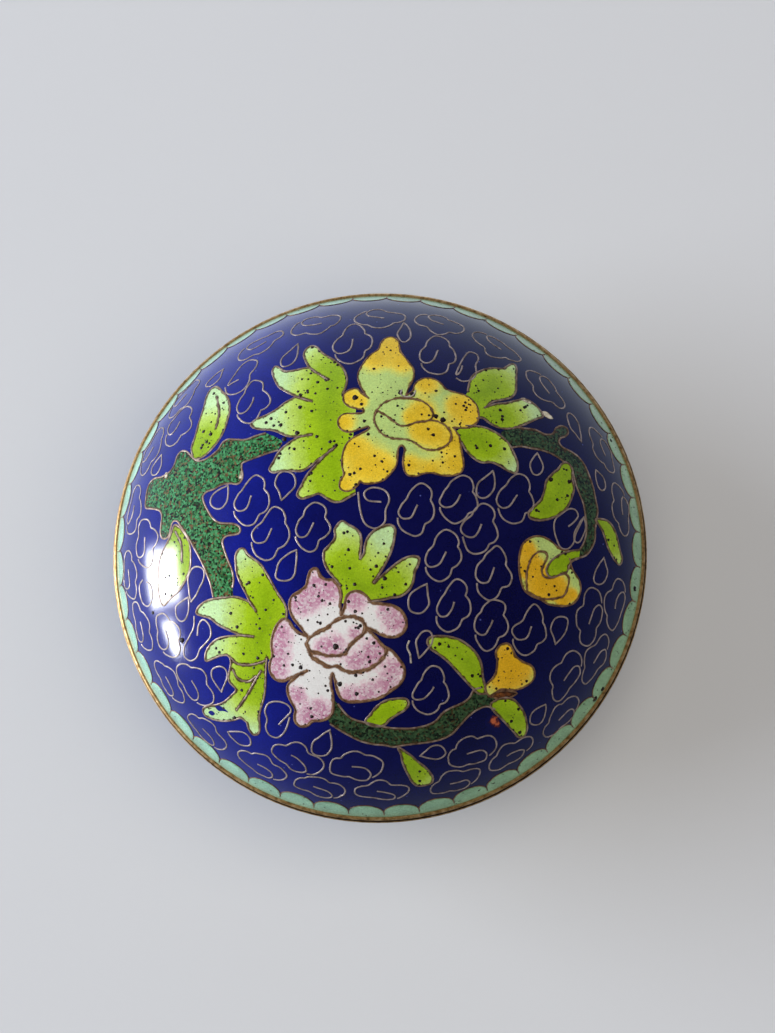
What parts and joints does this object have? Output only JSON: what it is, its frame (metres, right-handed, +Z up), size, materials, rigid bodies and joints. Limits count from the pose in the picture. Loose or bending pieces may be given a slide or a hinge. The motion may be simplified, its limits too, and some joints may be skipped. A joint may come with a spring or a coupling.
{
  "type": "cloisonne enamel box",
  "caption": "Small round lidded box of cloisonne enamel: a domed lift-off lid and a matching bowl on a foot ring, brass-edged, with flowers, leaves and cloud scrolls in wire on blue.",
  "frame": {"origin": "centre of the underside of the foot ring", "axes": "+Z up along the axis of the box; +Y is the side of the lid with the yellow flower"},
  "size_m": [0.0766, 0.0766, 0.0396],
  "materials": {
    "cobalt_enamel": "fired, ground flush with its wires and polished",
    "mint_enamel": "fired and polished, with pinholes",
    "leaf_enamel": "fired and polished, graded from lime to pale green, with pinholes",
    "branch_enamel": "fired and polished, dark green speckled with brown",
    "yellow_enamel": "fired and polished, graded from yellow to pale green, with pinholes",
    "pink_enamel": "fired and polished, graded from pink to white, with pinholes",
    "counter_enamel": "fired, unpolished and slightly rippled",
    "brass": "polished and worn, darkened in the groove"
  },
  "bodies": {
    "root": {"foot_ring": "brass", "bowl": "cobalt_enamel", "bowl_rim": "brass", "lid_rim": "brass", "lid": "cobalt_enamel"}
  },
  "joints": []
}
